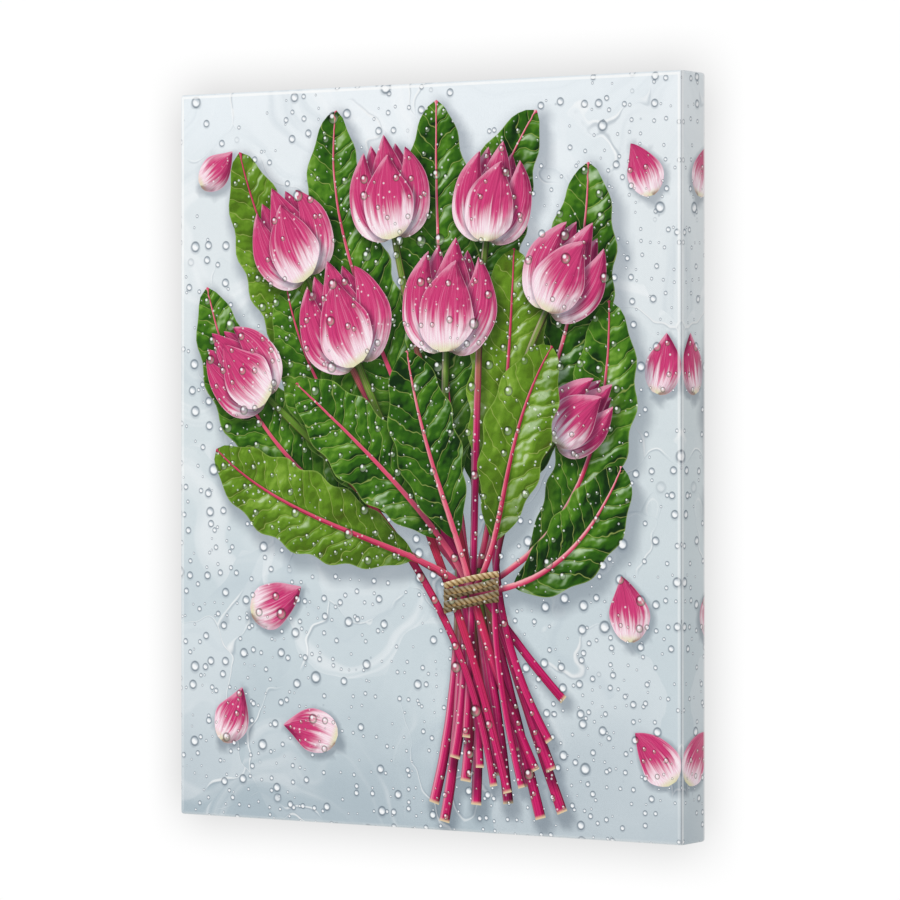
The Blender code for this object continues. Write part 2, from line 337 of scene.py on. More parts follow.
def make_picture(draw):
    """Every motif of the print in painting order, in metres from the middle of the front."""
    motifs = []
    for base, degrees, size in LOOSE_PETALS:
        spine = turned(metres(LOOSE_SPINE), degrees, metres(base)[0], size)
        motifs.append(Ribbon("petal", spine, 0.0185 * size, draw.random(), 0.05, 0.004, 24))
    motifs += make_leaves(BACK_LEAVES, draw)
    for i in draw.permutation(CUT_STALKS):
        off = i - CUT_STALKS // 2
        end = TIE + (-0.030 + 0.0085 * i, -0.122 - 0.022 * math.sin(i * 2.1) - 0.0006 * off ** 2)
        spine = [end, (TIE + end) / 2 + (0.006, 0), TIE + (0.0016 * off, 0.016)]
        motifs.append(Ribbon("stem", spine, STEM_HALF_WIDTH * 1.2, draw.random(), 0.02, 0.006, 30))
    for rank, flower in zip(draw.permutation(len(FLOWERS)), FLOWERS):
        end = TIE + (-0.004 + 0.011 * rank, -0.134 + 0.0040 * (rank - 3) ** 2)
        motifs += make_flower(flower, end, draw)
    motifs += make_leaves(FRONT_LEAVES, draw)
    for i in range(TWINE_TURNS):
        middle = TIE + (0, TWINE_PITCH * (i - TWINE_TURNS // 2))
        spine = [middle + (-0.022, -0.0045), middle + (0, 0.002 * (-1) ** i), middle + (0.022, 0.0045)]
        motifs.append(Ribbon("twine", spine, 0.0021, draw.random(), 0.0, 0.003, 18))
    return motifs


# The canvas sheet, laid out flat as (across, up) from the middle of the front

ZONES = FRONT, LEFT, RIGHT, BOTTOM, TOP = range(5)

# For each zone past the front, the coordinate that is mirrored there and twice the place of its edge
MIRRORS = {
    LEFT: (0, -2 * HALF_WIDTH),
    RIGHT: (0, 2 * HALF_WIDTH),
    BOTTOM: (1, -2 * HALF_HEIGHT),
    TOP: (1, 2 * HALF_HEIGHT),
}


def mirrored(points, zone):
    """Turns the picture over at one edge of the front. It is its own inverse."""
    points = np.array(points, float)
    if zone in MIRRORS:
        axis, twice = MIRRORS[zone]
        points[:, axis] = twice - points[:, axis]
    return points


def past_edge(points):
    """How far flat points lie past the front's edge, negative on the front."""
    return (np.abs(points) - (HALF_WIDTH, HALF_HEIGHT)).max(1)


def zones_of(points):
    """The zone that each flat point lies in."""
    u, v = points.T
    sideways = np.where(u > 0, RIGHT, LEFT)
    upright = np.where(v > 0, TOP, BOTTOM)
    return np.where(np.abs(u) > HALF_WIDTH, sideways, np.where(np.abs(v) > HALF_HEIGHT, upright, FRONT))


def spread(start, end, pitch):
    """Evenly spaced numbers from start to end, at most a pitch apart."""
    count = math.ceil((end - start) / pitch)
    return [start + (end - start) * i / count for i in range(count + 1)]


def grid_lines(half):
    """Grid coordinates in one direction, and those that stay whole as lines of edges."""
    bend = [WRAP_RADIUS * (1 - math.tan(math.radians(turn))) for turn in ARC_TURNS]
    bend += [WRAP_RADIUS, WRAP_RADIUS + GUARD]
    back = half + DEPTH
    firm = [half - SEAM_INSET - SEAM_STEP, half - SEAM_INSET, back + PRINT_ON_BACK, back + FLAP]
    lines = spread(0, firm[0], GRID) + spread(half + bend[-1], back - bend[-1], GRID)
    lines += spread(back + bend[-1], firm[2], GRID) + spread(firm[2], firm[3], GRID)
    for edge in (half, back):
        firm += [edge, *(edge - b for b in bend), *(edge + b for b in bend)]
    firm = {round(sign * line, 7) for line in firm for sign in (-1, 1)}
    return sorted(firm | {round(sign * line, 7) for line in lines for sign in (-1, 1)}), firm


def on_sheet(points, slack):
    """Whether flat points are on the cut sheet: a cross with mitred flaps."""
    past = np.abs(points) - (HALF_WIDTH, HALF_HEIGHT)
    far = past.max(1)
    near = -past.min(1)
    return (near >= -slack) & (far <= DEPTH + FLAP + slack) & (near >= far - DEPTH - slack)


def grid_of_sheet():
    """Points of the grid and edges along the sheet's folds. Both flaps meet a mitre at the same points."""
    columns, firm_columns = grid_lines(HALF_WIDTH)
    rows, firm_rows = grid_lines(HALF_HEIGHT)
    places = np.array([(u, v) for u in columns for v in rows])
    used = on_sheet(places, SNAP)
    number = np.where(used, np.cumsum(used) - 1, -1).reshape(len(columns), len(rows))
    edges = []
    for lines, firm, table in ((columns, firm_columns, number), (rows, firm_rows, number.T)):
        for line, along in zip(lines, table):
            if line in firm:
                edges += [(int(a), int(b)) for a, b in zip(along, along[1:]) if min(a, b) >= 0]
    points = places[used].tolist()
    cuts = [0.0] + [u - HALF_WIDTH - DEPTH for u in columns if HALF_WIDTH + DEPTH + WELD < u]
    for su, sv in ((-1, -1), (-1, 1), (1, -1), (1, 1)):
        for upright in (True, False):
            start = len(points)
            for cut in cuts:
                across, up = (-cut, DEPTH + cut) if upright else (DEPTH + cut, -cut)
                points.append((su * (HALF_WIDTH + across), sv * (HALF_HEIGHT + up)))
            edges += [(i, i + 1) for i in range(start, len(points) - 1)]
    return points, edges


def anticlockwise(outline):
    x, y = outline.T
    turn = (x * np.roll(y, -1) - y * np.roll(x, -1)).sum()
    return outline if turn > 0 else outline[::-1]


def lay_out(motifs):
    """Cuts the flat sheet into triangles along every outline, and says which zone and motif each shows."""
    points, edges = grid_of_sheet()
    faces = []
    shown = []
    soft = np.vstack([motif.shadow_ring(share) for motif in motifs for share in SHADOW_RINGS])
    soft = soft[np.unique(np.round(soft / RING_PITCH), axis=0, return_index=True)[1]]
    for zone in ZONES:
        for owner, motif in enumerate(motifs):
            copy = anticlockwise(mirrored(motif.outline(), zone))
            if ((zones_of(copy) == zone) & (past_edge(copy) < DEPTH + PRINT_ON_BACK)).any():
                faces.append(list(range(len(points), len(points) + len(copy))))
                points += copy.tolist()
                shown.append((zone, owner))
        copy = mirrored(soft, zone)
        points += copy[(zones_of(copy) == zone) & (past_edge(copy) < DEPTH - WRAP_RADIUS)].tolist()
    cut = delaunay_2d_cdt([Vector(p) for p in points], edges, faces, 0, SNAP)
    flat = np.array([tuple(p) for p in cut[0]])
    triangles = np.array(cut[2])
    middle = flat[triangles].mean(1)
    a, b, c = (flat[triangles[:, i]] for i in range(3))
    area = np.abs((b - a)[:, 0] * (c - a)[:, 1] - (b - a)[:, 1] * (c - a)[:, 0])
    keep = on_sheet(middle, -SNAP / 10) & (area > SMALLEST_AREA)
    zone_of = zones_of(middle)
    motif_of = np.full(len(triangles), -1)
    for i in np.flatnonzero(keep):
        for zone, owner in (shown[face] for face in cut[5][i]):
            if zone == zone_of[i]:
                motif_of[i] = max(motif_of[i], owner)
    used, triangles = np.unique(triangles[keep], return_inverse=True)
    return flat[used], triangles.reshape(-1, 3), zone_of[keep], motif_of[keep]


def smooth_step(value, low, high):
    t = np.clip((value - low) / (high - low), 0, 1)
    return t * t * (3 - 2 * t)


def staple_places():
    """Middles of the staples' crowns, measured from the middle of the canvas."""
    boxes = [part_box(name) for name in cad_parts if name.startswith("staple_")]
    return np.array([((low.x + high.x) / 2, (low.z + high.z) / 2 - CENTRE_Z) for low, high in boxes])


def relief(flat, zone, box):
    """How far each point stands off the plain wrap: pleats at the corners, dips under the staples."""
    past = past_edge(flat)
    from_corner = HALF_WIDTH - np.abs(flat[:, 0])
    tucked = smooth_step(np.clip(past, 0, DEPTH) - from_corner, 0, PLEAT_EASE)
    pleat = PLEAT_RISE * tucked * smooth_step(from_corner, SEAM_INSET, SEAM_INSET + SEAM_STEP)
    height = np.where(np.isin(zone, (BOTTOM, TOP)), pleat, 0)
    away = np.hypot(*(box[:, None, (0, 2)] - staple_places()[None]).transpose(2, 0, 1)).min(1)
    near = np.exp(-(away / STAPLE_REACH) ** 2)
    loose = smooth_step(away, SWELL_START, SWELL_FULL) * smooth_step(past - DEPTH, SWELL_START, FLAP)
    return height + np.where(past > DEPTH, EDGE_SWELL * loose - STAPLE_DIP * near, 0)


def fold(flat, zone):
    """Wraps flat points round the box, with its rounded edges and its relief."""
    u, v = flat.T
    past = np.maximum(past_edge(flat), 0)
    turned_in = np.maximum(past - DEPTH, 0)
    x = np.where(np.isin(zone, (LEFT, RIGHT)), np.sign(u) * (HALF_WIDTH - turned_in), u)
    z = np.where(np.isin(zone, (BOTTOM, TOP)), np.sign(v) * (HALF_HEIGHT - turned_in), v)
    box = np.stack([x, np.where(zone == FRONT, 0, np.minimum(past, DEPTH)), z], 1)
    inner = np.clip(
        box,
        (-HALF_WIDTH + WRAP_RADIUS, WRAP_RADIUS, -HALF_HEIGHT + WRAP_RADIUS),
        (HALF_WIDTH - WRAP_RADIUS, DEPTH - WRAP_RADIUS, HALF_HEIGHT - WRAP_RADIUS),
    )
    out = box - inner
    out /= np.linalg.norm(out, axis=1)[:, None]
    return inner + out * (WRAP_RADIUS + relief(flat, zone, box))[:, None] + (0, LOW.y, CENTRE_Z)


def shade_picture(motifs, place, motif_of):
    """Attributes of each corner: where it is in its motif, where its light comes from, and its shadow."""
    band, aim, tone = np.zeros((3, len(place), 3))
    light = np.ones(len(place))
    for number, motif in enumerate(motifs):
        own = np.flatnonzero(motif_of == number)
        if len(own):
            band[own], aim[own, :2], _ = motif.place(place[own])
            tone[own, 1] = band[own, 0] / motif.length
            tone[own, 2] = motif.seed
        outline = motif.outline()
        margin = SHADOW_MARGIN * motif.lift
        near = (place > outline.min(0) - margin).all(1) & (place < outline.max(0) + margin).all(1)
        under = np.flatnonzero(near & (motif_of < number))
        if len(under):
            cast = motif.place(place[under] + LIGHT * SHADOW_SHIFT * motif.lift)[2]
            close = motif.place(place[under])[2]
            cast = CAST_DEPTH * (1 - smooth_step(cast, 0, SHADOW_REACH * motif.lift))
            close = CLOSE_DEPTH * (1 - smooth_step(close, 0, CLOSE_REACH * motif.lift))
            light[under] = np.minimum(light[under], 1 - cast) * (1 - close)
    tone[:, 0] = 1 - light
    return {"band": band, "aim": aim, "tone": tone}


def wrap_canvas(materials):
    """The canvas: one printed sheet over the front and sides, turned in at the back."""
    motifs = make_picture(np.random.default_rng(SEED))
    flat, triangles, zone, motif_of = lay_out(motifs)
    vertex_zone = np.zeros(len(flat), int)
    vertex_zone[triangles] = zone[:, None]

    points = fold(flat, vertex_zone).tolist()
    mesh = make_mesh("canvas_sheet", points, triangles.tolist(), *materials.values())
    kinds = list(materials)
    look = np.array([kinds.index(motif.kind) for motif in motifs] + [kinds.index("ground")])[motif_of]
    look[past_edge(flat[triangles].mean(1)) > DEPTH + PRINT_ON_BACK] = kinds.index("primed")
    mesh.polygons.foreach_set("material_index", look.astype(np.int32))

    corners = flat[triangles].reshape(-1, 2)
    place = np.zeros_like(corners)
    corner_zone = np.repeat(zone, 3)
    for index in ZONES:
        place[corner_zone == index] = mirrored(corners[corner_zone == index], index)
    past = past_edge(corners)
    attributes = {"place": np.column_stack([place, past]), "cloth": np.column_stack([corners, past])}
    attributes |= shade_picture(motifs, place, np.repeat(motif_of, 3))
    for name, values in attributes.items():
        attribute = mesh.attributes.new(name, "FLOAT_VECTOR", "CORNER")
        attribute.data.foreach_set("vector", values.astype(np.float32).ravel())
    return thicken(mesh)


def thicken(mesh):
    """Joins the sheet's seams and gives it its thickness, with bare cloth on the inside."""
    sheet = add_object("canvas_sheet_flat", mesh)
    weld = sheet.modifiers.new("Seams", "WELD")
    weld.merge_threshold = WELD
    solid = sheet.modifiers.new("Thickness", "SOLIDIFY")
    solid.thickness = THICKNESS
    solid.offset = -1
    solid.use_even_offset = False
    solid.material_offset = len(mesh.materials)
    solid.material_offset_rim = len(mesh.materials)
    bpy.context.view_layer.update()
    graph = bpy.context.evaluated_depsgraph_get()
    evaluated = sheet.evaluated_get(graph)
    result = bpy.data.meshes.new_from_object(evaluated, preserve_all_data_layers=True, depsgraph=graph)
    result.name = "printed_canvas"
    result.set_sharp_from_angle(angle=math.radians(SMOOTH_DEGREES))
    bpy.data.objects.remove(sheet)
    bpy.data.meshes.remove(mesh)
    return add_object("printed_canvas", result)


# Node trees

def math_method(operation, swapped=False):
    """A method that adds a Math node for a Signal and another number."""
    def method(self, other=0):
        first, second = (other, self) if swapped else (self, other)
        node = self.look.add("Math", {0: first, 1: second}, operation=operation)
        return Signal(self.look, node.outputs[0])
    return method


class Signal:
    """A number in a material's node tree. Arithmetic on it adds the nodes that do the sum."""

    def __init__(self, look, socket):
        self.look = look
        self.socket = socket

    __add__ = math_method("ADD")
    __radd__ = math_method("ADD", True)
    __sub__ = math_method("SUBTRACT")
    __rsub__ = math_method("SUBTRACT", True)
    __mul__ = math_method("MULTIPLY")
    __rmul__ = math_method("MULTIPLY", True)
    __truediv__ = math_method("DIVIDE")
    __abs__ = math_method("ABSOLUTE")
    __pow__ = math_method("POWER")
    larger = math_method("MAXIMUM")
    smaller = math_method("MINIMUM")
    fraction = math_method("FRACT")
    sine = math_method("SINE")

    def step(self, low, high):
        """0 below low, 1 above high and smooth between. low may be the larger one."""
        limits = {"Value": self, "From Min": min(low, high), "From Max": max(low, high)}
        limits |= {"To Min": float(low > high), "To Max": float(low <= high)}
        node = self.look.add("MapRange", limits, interpolation_type="SMOOTHSTEP")
        return Signal(self.look, node.outputs["Result"])

    def stripe(self, low, high, soft):
        """1 between low and high, with soft edges outside them."""
        return self.step(low - soft, low) * self.step(high + soft, high)

    def shades(self, *stops):
        """A colour that runs through stops, each a position and a colour of 0 to 255."""
        node = self.look.add("ValToRGB", {0: self})
        ramp = node.color_ramp
        ramp.interpolation = "EASE"
        while len(ramp.elements) < len(stops):
            ramp.elements.new(0.5)
        for element, (position, *colour) in zip(ramp.elements, stops):
            element.position = position
            element.color = (*srgb(*colour), 1)
        return node.outputs[0]


def srgb(red, green, blue):
    """A colour of 0 to 255 as linear light."""
    shares = (red / 255, green / 255, blue / 255)
    return tuple(c / 12.92 if c <= 0.04045 else ((c + 0.055) / 1.055) ** 2.4 for c in shares)


class Look:
    """One material, its colour so far, and short calls for building its node tree."""

    def __init__(self, name):
        self.material = bpy.data.materials.new(name)
        self.material.use_nodes = True
        self.nodes = self.material.node_tree.nodes
        self.shader = self.nodes["Principled BSDF"]
        self.colour = None

    def put(self, socket, value):
        """Sets a socket from a number, a colour, coordinates, a Signal or another node's socket."""
        value = getattr(value, "socket", value)
        if isinstance(value, tuple) and socket.type == "VECTOR":
            value = self.add("CombineXYZ", dict(enumerate(value))).outputs[0]
        if isinstance(value, bpy.types.NodeSocket):
            self.material.node_tree.links.new(value, socket)
        elif isinstance(value, tuple):
            socket.default_value = (*value, 1)
        else:
            socket.default_value = value

    def add(self, kind, inputs=(), **settings):
        node = self.nodes.new("ShaderNode" + kind)
        for name, value in settings.items():
            setattr(node, name, value)
        for name, value in dict(inputs).items():
            self.put(node.inputs[name], value)
        return node

    def split(self, socket):
        node = self.add("SeparateXYZ", {0: socket})
        return tuple(Signal(self, node.outputs[i]) for i in range(3))

    def parts(self, name):
        """The three numbers of a mesh attribute."""
        return self.split(self.add("Attribute", attribute_name=name).outputs["Vector"])

    def object_parts(self):
        """The point on a frame's node, in metres."""
        return self.split(self.add("TexCoord").outputs["Object"])

    def slope(self, height, reach):
        """How a height drawn in a motif's band falls towards the light: above 0 on its lit side."""
        along, across, width = self.parts("band")
        light_along, light_across, _ = self.parts("aim")
        out = across * width
        toward = height(along + light_along * reach, out + light_across * reach)
        return (height(along, out) - toward) / reach

    def mix(self, share, a, b, blend="MIX"):
        return self.add("Mix", {0: share, 6: a, 7: b}, data_type="RGBA", blend_type=blend).outputs[2]

    def cover(self, share, colour):
        """Lays a share of another colour over the colour so far."""
        self.colour = self.mix(share, self.colour, colour)

    def paint(self, share, *colour):
        self.cover(share, srgb(*colour))

    def tint(self, share, blend, *colour):
        """Lays a share of the colour so far, multiplied or screened by another, over it."""
        self.cover(share, self.mix(1.0, self.colour, srgb(*colour), blend))

    def bump(self, height, distance):
        node = self.add("Bump", {"Height": height, "Distance": distance})
        self.put(self.shader.inputs["Normal"], node.outputs[0])

    def finish(self, roughness, metallic=0.0, specular=0.5):
        self.put(self.shader.inputs["Base Color"], self.colour)
        self.put(self.shader.inputs["Roughness"], roughness)
        self.shader.inputs["Metallic"].default_value = metallic
        self.shader.inputs["Specular IOR Level"].default_value = specular
        return self.material


def noise(place, scale, detail=2.0, roughness=0.5):
    """Noise at a place that is given by Signals."""
    look = place[0].look
    inputs = {"Vector": place, "Scale": scale, "Detail": detail, "Roughness": roughness}
    return Signal(look, look.add("TexNoise", inputs).outputs[0])


def cells(place, scale=1.0, smoothness=0.0):
    """Distance and random brightness of the cells of a Voronoi pattern."""
    look = place[0].look
    inputs = {"Vector": place, "Scale": scale}
    if smoothness:
        inputs["Smoothness"] = smoothness
    node = look.add("TexVoronoi", inputs, feature="SMOOTH_F1" if smoothness else "F1")
    return Signal(look, node.outputs["Distance"]), look.split(node.outputs["Color"])[0]


def cell_edges(x, y):
    """Distance to the nearest edge between the cells of the same pattern."""
    node = x.look.add("TexVoronoi", {"Vector": (x, y), "Scale": 1.0}, feature="DISTANCE_TO_EDGE")
    return Signal(x.look, node.outputs["Distance"])


# The cloth under the print

def threads(u, v, length, width, detail):
    """Uneven threads that cross each other."""
    return noise((u * length, v * width), 1.0, detail) + noise((u * width, v * length), 1.0, detail)


def weave(u, v):
    """Height of a plain weave from 0 to 1, with threads of uneven thickness."""
    turn = math.pi / WEAVE_PITCH
    return (u * turn).sine() * (v * turn).sine() * 0.5 + threads(u, v, 40, 900, 1) * 0.4


def make_primed(look):
    """White primer on the turned-in edge, with the corners' mitred folds as grooves with painted shade in
    them, and a fraying cut edge.
    """
    u, v, past = look.parts("cloth")
    height = weave(u, v)
    look.colour = noise((u, v), 30, 4).shades((0.3, 224, 221, 212), (0.7, 240, 239, 233))
    past_u = abs(u) - HALF_WIDTH
    past_v = abs(v) - HALF_HEIGHT
    mitre = past_u.larger(past_v) + past_u.smaller(past_v)
    # Painted shade in the crease of each mitred fold, which is also bumped in as a groove
    fold = (DEPTH - mitre).step(MITRE_WIDTH, 0.0)
    look.paint(fold * 0.42, 132, 124, 108)
    thread = noise((u * 900, v * 900), 1.0, 1)
    raw = (past + thread * 0.0016).step(DEPTH + FLAP - RAW_EDGE, DEPTH + FLAP)
    look.paint(raw * 0.55, 196, 178, 142)
    look.bump(height + fold * -2.0, 0.00014)
    return look.finish(0.75, specular=0.3)


def make_raw(look):
    """Bare cotton, cloudy, with uneven threads and dark flecks."""
    u, v, _ = look.parts("cloth")
    cloud = noise((u, v), 9, 4)
    tone = cloud * 0.5 + threads(u, v, 25, 800, 2) * 0.25
    look.colour = tone.shades((0.3, 204, 190, 163), (0.7, 228, 217, 194))
    fleck, _ = cells((u, v), 160)
    look.paint(fleck.step(0.1, 0.04) * 0.5, 134, 108, 72)
    look.bump(weave(u, v), 0.00018)
    return look.finish(0.85, specular=0.2)


# The print

INK_WHITE = (251, 253, 255)

# Each layer of droplets: pitch of the pattern, smallest and largest radius, share of cells with a droplet
DROPLETS = (
    (0.0088, 0.0008, 0.0019, 0.66),
    (0.0145, 0.0018, 0.0042, 0.7),
)


def add_droplets(look, layer, clear):
    """Droplets, each in a cell of its own: milky with a grey ring, or clear with a dark rim and a glint."""
    pitch, smallest, largest, share = layer
    x, y, _ = look.parts("place")
    x_cell = x / pitch
    y_cell = y / pitch
    pattern = {"Vector": (x_cell, y_cell), "Scale": 1.0}
    spot = look.add("TexVoronoi", pattern, voronoi_dimensions="2D")
    room = look.add("TexVoronoi", pattern, voronoi_dimensions="2D", feature="N_SPHERE_RADIUS")
    size, luck, _ = look.split(spot.outputs["Color"])
    wish = size * size * ((largest - smallest) / pitch) + smallest / pitch
    radius = wish.smaller(Signal(look, room.outputs["Radius"]) * 0.92)
    x_middle, y_middle, _ = look.split(spot.outputs["Position"])
    dx = (x_cell - x_middle) / radius
    dy = (y_cell - y_middle) / radius
    distance = (dx * dx + dy * dy) ** 0.5
    y_spot = y_middle * pitch
    crowd = noise((x_middle * pitch, y_spot, pitch * 100), 8, 2) * 2.4 - 0.58 - y_spot
    there = (luck - crowd * share).step(0.01, -0.01)
    ring = distance.stripe(0.8, 0.88, 0.3) * there
    if clear:
        lower = distance.step(1.0, 0.8) * (dx * 0.5 - dy * 0.8).step(-0.6, 0.9) * there
        look.tint(ring * 0.72, "MULTIPLY", 88, 96, 88)
        look.tint(lower * 0.62, "SCREEN", 150, 164, 140)
        glint = (((dx + 0.24) ** 2 + (dy - 0.3) ** 2) ** 0.5).step(0.5, 0.18) * there
        look.paint(glint * 0.92, *INK_WHITE)
    else:
        under = (distance + dy * 0.22).step(1.34, 0.95) * there
        look.paint(under * 0.26, 112, 126, 142)
        look.paint(ring * (0.5 + dy * dy * 0.44), 108, 121, 134)
        white = srgb(*INK_WHITE)
        body = look.mix((dy * 0.8 + dx * 0.4).step(-0.2, 0.8), white, srgb(166, 180, 192))
        shine = (((dx + 0.1) ** 2 + (dy + 0.02) ** 2) ** 0.5).step(0.46, 0.1)
        look.cover(distance.step(0.84, 0.5) * there * 0.97, look.mix(shine * 0.88, body, white))


def paint_fold_light_and_shade(look, y, past, u, v, highlight_patches):
    """Painted light and shade at the folds: a pale line along the front's edge (partly worn ink, partly
    painted highlight), painted highlights past the folds and on the back edge, and a dark painted shade line
    on the right fold.
    """
    # Pale line just inside the front's edge: partly worn ink, partly a painted highlight, stronger towards
    # the top
    inset = v.step(0.004 - HALF_HEIGHT, 0.001 - HALF_HEIGHT) * 0.0016
    worn_highlight = (past - inset).stripe(-0.0029, -0.0016, 0.0005) * highlight_patches
    highlight_strength = y.step(-HALF_HEIGHT, 0.0) * 0.3 + y.step(0.0, HALF_HEIGHT) * 0.34 + 0.2
    look.paint(worn_highlight * highlight_strength, 252, 253, 253)
    # Pale strip just past the bottom edge: painted light on the rounded bottom fold
    under = v.stripe(-HALF_HEIGHT - 0.0026, -HALF_HEIGHT - 0.0002, 0.0006)
    look.paint(under * 0.4, 250, 252, 253)
    # Dark line on the right fold only: painted shade between the front's edge and the side
    painted_crease_shade = (u - HALF_WIDTH).stripe(-0.0006, 0.0004, 0.0004)
    look.paint(painted_crease_shade * 0.34, 120, 112, 120)
    # Pale line just past the fold: a painted highlight on the rounded edge
    turn = past.stripe(0.001, 0.0021, 0.0005) * highlight_patches
    look.paint(turn * 0.56, 250, 251, 252)
    # The sides painted a little lighter towards the back, and a painted highlight along the back edge
    back_edge_highlight = past.stripe(DEPTH - 0.0022, DEPTH + 0.0014, 0.0014)
    look.paint(past.step(0.006, DEPTH) * 0.12 + back_edge_highlight * highlight_patches * 0.6, 250, 250, 250)


def finish_print(look, depth=1.0, clear=True):
    """What every part of the print shares: shadows, droplets, painted highlights (partly worn ink) and
    painted shade at the folds, and the weave.
    """
    shadow, _, _ = look.parts("tone")
    look.tint(shadow * depth, "MULTIPLY", 92, 106, 126)
    x, y, past = look.parts("place")
    if clear:
        spray, luck = cells((x, y), 230)
        wet = noise((x, y, 0.5), 26, 2)
        spray = spray.step(0.24, 0.1) * (luck + wet).step(1.14, 1.24)
        look.paint(spray * 0.62, *INK_WHITE)
    for layer in DROPLETS:
        add_droplets(look, layer, clear)
    u, v, _ = look.parts("cloth")
    grain = noise((u, v), 220, 3)
    # Painted highlights and shade along the folds
    paint_fold_light_and_shade(look, y, past, u, v, 0.5 + noise((u, v), 60, 3) * 0.8)
    look.bump(weave(u, v) + grain * 0.3, 0.00008)
    return look.finish(0.6 + grain * 0.12, specular=0.08)


# The plaster's colour from the bottom of the picture to the top
PLASTER = (
    (0.02, 174, 189, 198),
    (0.25, 204, 216, 222),
    (0.5, 214, 224, 228),
    (0.74, 222, 230, 234),
    (0.98, 234, 241, 246),
)


def make_ground(look):
    """Pale plaster: trowelled patches with thin ridges between them, soft curved strokes and small pits."""
    x, y, _ = look.parts("place")
    here = (x, y)
    warp_x = noise(here, 5, 3) - 0.5
    warp_y = noise((x, y, 0.7), 5, 3) - 0.5
    cloud = noise((x, y, 0.2), 8, 4, 0.55)
    height = y + x * 0.08 + (cloud - 0.5) * 0.18
    look.colour = (height * 1.9 + 0.5).shades(*PLASTER)
    ripple_x = noise(here, 26, 2) - 0.5
    ripple_y = noise((x, y, 0.9), 26, 2) - 0.5
    patch_x = x * 9 + warp_x * 3.0 + ripple_x * 0.4
    patch_y = y * 6.5 + warp_y * 3.0 + ripple_y * 0.4
    _, tint = cells((patch_x, patch_y), 1.0, 0.04)
    look.paint(tint.step(0.25, 0.9) * 0.2, 246, 249, 252)
    present = noise((x, y, 0.3), 17, 2).step(0.43, 0.6)
    thick = present * (noise((x, y, 0.4), 40, 2) * 0.01 + 0.003)
    shaded = cell_edges(patch_x - 0.011, patch_y + 0.011)
    look.paint((shaded / thick).step(2.2, 0.2) * present * 0.44, 136, 150, 163)
    lit = cell_edges(patch_x, patch_y)
    look.paint((lit / thick).step(1.6, 0.2) * present * 0.66, 253, 254, 254)
    scoop, turn = cells((x * 5 + warp_x, y * 3.6 + warp_y))
    stroke = noise((scoop * 13, turn * 9, warp_x * 2), 1.0, 3, 0.55)
    look.paint(stroke.step(0.54, 0.74) * 0.34, 184, 197, 207)
    look.paint(stroke.step(0.46, 0.28) * 0.4, 250, 252, 254)
    pit, luck = cells(here, 75)
    look.paint(pit.step(0.1, 0.03) * luck.step(0.8, 0.86) * 0.35, 128, 142, 156)
    return finish_print(look, 0.72, clear=False)


def make_leaf(look):
    """Glossy green blade that swells between its side veins, with a pink rib and stalk."""
    along, across, width = look.parts("band")
    _, share, seed = look.parts("tone")
    _, light, _ = look.parts("aim")
    side = across * width

    def vein_of(a, b):
        wander = noise((a, b, seed * 3), 55, 2) - 0.5
        return abs((((a - abs(b) * 0.85) / 0.0125 + wander * 1.5 + seed * 7) * math.pi).sine())

    def blade(a, b):
        buckle = noise((a, b, seed * 5 + 2), 24, 3, 0.46)
        return buckle * 0.02 + vein_of(a, b).step(0.0, 0.95) * 0.0007 + abs(b).step(0.0, 0.016) * 0.0042

    slope = look.slope(blade, 0.0008)
    blotch = noise((along, side, seed * 9), 38, 3)
    tone = slope * 0.5 + blotch * 0.5 + across * light * 0.1 + seed * 0.22 + 0.1
    greens = ((0.12, 14, 44, 12), (0.36, 44, 92, 16), (0.56, 78, 128, 30), (0.76, 120, 164, 58))
    look.colour = tone.shades(*greens, (0.96, 186, 212, 142))
    gloss = slope + (noise((along, side, seed * 13 + 5), 48, 3) - 0.5) * 0.9
    look.paint(gloss.step(0.3, 0.8) * 0.56, 200, 220, 196)
    look.paint(seed.step(0.5, 0.9) * 0.22, 150, 172, 40)
    look.paint(share.step(0.58, 0.22) * 0.42, 14, 38, 14)
    look.paint(noise((along, side, seed), 420, 2).step(0.5, 0.66) * 0.12, 24, 60, 14)
    look.paint(vein_of(along, side).step(0.13, 0.02) * 0.58, 168, 182, 100)
    rib_width = 0.0027 - share * 0.0022
    off_rib = abs(across) * width / rib_width
    look.paint(off_rib.stripe(1.0, 1.6, 0.5) * 0.4, 18, 44, 12)
    lines = noise((along * 8, side * 1300, seed * 19), 1.0, 2)
    rib_tone = side / rib_width * light * 0.45 + blotch * 0.34 + lines * 0.34 + 0.26
    rib_tone = rib_tone - seed.step(0.25, 0.75) * 0.22
    pinks = rib_tone.shades((0.15, 150, 22, 62), (0.5, 216, 78, 112), (0.9, 246, 176, 182))
    look.cover(off_rib.step(1.1, 0.85), pinks)
    look.paint(abs(across).step(0.95, 1.0) * share.step(0.2, 0.3) * 0.38, 170, 196, 104)
    return finish_print(look)


